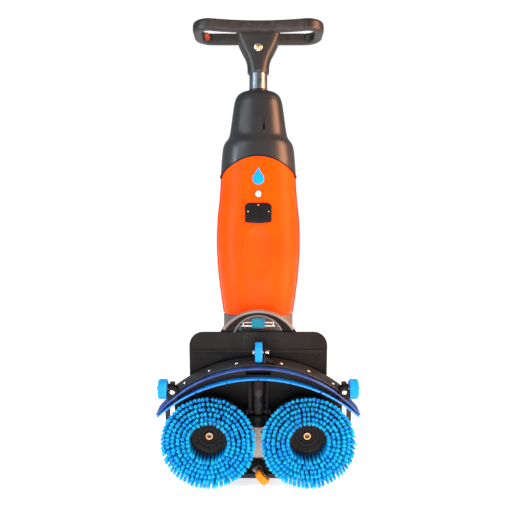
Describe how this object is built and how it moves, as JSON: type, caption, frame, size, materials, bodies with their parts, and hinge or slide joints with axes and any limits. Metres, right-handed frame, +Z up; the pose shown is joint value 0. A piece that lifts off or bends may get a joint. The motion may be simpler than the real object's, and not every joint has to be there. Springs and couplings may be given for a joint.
{
  "type": "wet dry floor scrubber",
  "caption": "Upright wet dry floor scrubber: tank column with loop handle on a two-way joint over a deck with twin brushes and a curved squeegee.",
  "frame": {"origin": "on the level foot of the front bumper that the machine stands on, under the middle of the tank column", "axes": "+X to the right seen by the operator, +Y away from the operator, +Z up along the column"},
  "size_m": [0.4992, 0.2927, 1.186],
  "materials": {
    "orange_shell": "gloss",
    "black_plastic": "fine satin grain",
    "gloss_black": "gloss",
    "grip_rubber": "matt",
    "blue_bristle": "satin filament",
    "blue_plastic": "satin",
    "blue_blade": "satin",
    "cyan_plastic": "satin",
    "bright_steel": "bright",
    "dark_steel": "satin",
    "cream_plastic": "satin",
    "amber_wheel": "satin",
    "red_plastic": "satin",
    "grey_plastic": "satin",
    "display_glass": "polished",
    "white_plastic": "satin"
  },
  "bodies": {
    "column": {"column_frame": "black_plastic", "column_base": "grey_plastic", "suction_motor": "dark_steel", "upper_yoke": "dark_steel", "recovery_tank": "orange_shell", "solution_tank": "orange_shell", "name_plate": "gloss_black", "drop_mark": "blue_plastic", "level_window": "white_plastic", "handle_post": "dark_steel", "neck_shell": "black_plastic", "console_panel": "gloss_black", "display_lens": "display_glass", "neck_screw": "bright_steel", "handle_loop": "black_plastic", "front_grip": "grip_rubber", "rear_grip": "grip_rubber"},
    "shoulder_cover": {"shoulder_cover": "gloss_black"},
    "red_button": {"red_button": "red_plastic"},
    "power_button": {"power_button": "blue_plastic"},
    "mode_button": {"mode_button": "white_plastic"},
    "recovery_cap": {"recovery_cap": "black_plastic"},
    "solution_cap": {"solution_cap": "black_plastic"},
    "joint_cross": {"joint_cross": "bright_steel"},
    "deck": {"deck_plate": "black_plastic", "arch_plate": "black_plastic", "front_bumper": "grip_rubber", "deck_cover": "gloss_black", "lower_yoke": "dark_steel", "solution_pump": "black_plastic", "hose_socket": "black_plastic", "suction_hose": "grip_rubber", "latch_shelf": "dark_steel", "chassis_strip": "cream_plastic", "caster_mount": "black_plastic", "motor_left": "dark_steel", "motor_right": "dark_steel"},
    "latch": {"latch_bail": "bright_steel", "latch_block": "cyan_plastic"},
    "battery_left": {"battery_left": "black_plastic"},
    "battery_right": {"battery_right": "black_plastic"},
    "brush_left": {"brush_disc_left": "grip_rubber", "bristles_left": "blue_bristle"},
    "brush_right": {"brush_disc_right": "grip_rubber", "bristles_right": "blue_bristle"},
    "squeegee": {"squeegee_body": "black_plastic", "clamp_strip": "gloss_black", "rear_blade": "blue_blade", "front_blade": "blue_blade", "centre_fin": "black_plastic", "centre_axle": "bright_steel", "lug_left": "black_plastic", "lug_right": "black_plastic", "axle_left": "bright_steel", "axle_right": "bright_steel"},
    "centre_roller": {"centre_roller": "blue_plastic"},
    "roller_left": {"roller_left": "blue_plastic"},
    "roller_right": {"roller_right": "blue_plastic"},
    "caster_fork": {"caster_fork": "dark_steel"},
    "caster_wheel": {"caster_wheel": "amber_wheel"}
  },
  "joints": [
    {"name": "column_swing", "type": "hinge", "parent": "column", "child": "joint_cross", "pos_m": [0, -0.03, 0.324], "axis": [0, 1, 0], "range_deg": [-30, 30]},
    {"name": "deck_pitch", "type": "hinge", "parent": "joint_cross", "child": "deck", "pos_m": [0, -0.03, 0.324], "axis": [1, 0, 0], "range_deg": [0, 82]},
    {"name": "cover_lift", "type": "slide", "parent": "column", "child": "shoulder_cover", "axis": [0, 0, 1], "range_m": [0, 0.045]},
    {"name": "red_button_press", "type": "slide", "parent": "column", "child": "red_button", "axis": [-0.7101, 0.7041, 0], "range_m": [0, 0.0025], "stiffness_N_per_m": 400},
    {"name": "power_button_press", "type": "slide", "parent": "column", "child": "power_button", "axis": [0, 0, -1], "range_m": [0, 0.002], "stiffness_N_per_m": 400},
    {"name": "mode_button_press", "type": "slide", "parent": "column", "child": "mode_button", "axis": [0, 0, -1], "range_m": [0, 0.002], "stiffness_N_per_m": 400},
    {"name": "recovery_cap_turn", "type": "hinge", "parent": "column", "child": "recovery_cap", "pos_m": [0, -0.046, 0.829], "axis": [0, 0, 1], "range_deg": [0, 90]},
    {"name": "solution_cap_turn", "type": "hinge", "parent": "column", "child": "solution_cap", "pos_m": [0, 0.046, 0.829], "axis": [0, 0, 1], "range_deg": [0, 90]},
    {"name": "latch_swing", "type": "hinge", "parent": "deck", "child": "latch", "pos_m": [0, -0.1025, 0.3946], "axis": [1, 0, 0], "range_deg": [0, 70]},
    {"name": "battery_left_slide", "type": "slide", "parent": "deck", "child": "battery_left", "axis": [-1, 0, 0], "range_m": [0, 0.1]},
    {"name": "battery_right_slide", "type": "slide", "parent": "deck", "child": "battery_right", "axis": [1, 0, 0], "range_m": [0, 0.1]},
    {"name": "brush_left_spin", "type": "hinge", "parent": "deck", "child": "brush_left", "pos_m": [-0.122, -0.1157, 0.1221], "axis": [0, 0.9903, 0.1392], "continuous": true},
    {"name": "brush_right_spin", "type": "hinge", "parent": "deck", "child": "brush_right", "pos_m": [0.122, -0.1157, 0.1221], "axis": [0, 0.9903, 0.1392], "continuous": true},
    {"name": "squeegee_float", "type": "hinge", "parent": "deck", "child": "squeegee", "pos_m": [0, -0.1215, 0.1849], "axis": [-1, 0, 0], "range_deg": [0, 8], "deforming": ["suction_hose"]},
    {"name": "centre_roller_spin", "type": "hinge", "parent": "squeegee", "child": "centre_roller", "pos_m": [0.001, -0.1725, 0.3393], "axis": [1, 0, 0], "continuous": true},
    {"name": "roller_left_spin", "type": "hinge", "parent": "squeegee", "child": "roller_left", "pos_m": [-0.231, -0.1597, 0.2482], "axis": [1, 0, 0], "continuous": true},
    {"name": "roller_right_spin", "type": "hinge", "parent": "squeegee", "child": "roller_right", "pos_m": [0.231, -0.1597, 0.2482], "axis": [1, 0, 0], "continuous": true},
    {"name": "caster_swivel", "type": "hinge", "parent": "deck", "child": "caster_fork", "pos_m": [0, -0.0743, 0.0431], "axis": [0, 0.9903, 0.1392], "continuous": true},
    {"name": "caster_wheel_spin", "type": "hinge", "parent": "caster_fork", "child": "caster_wheel", "pos_m": [0.0099, -0.13535, 0.02452], "axis": [0.7071, -0.0984, 0.7002], "continuous": true}
  ]
}
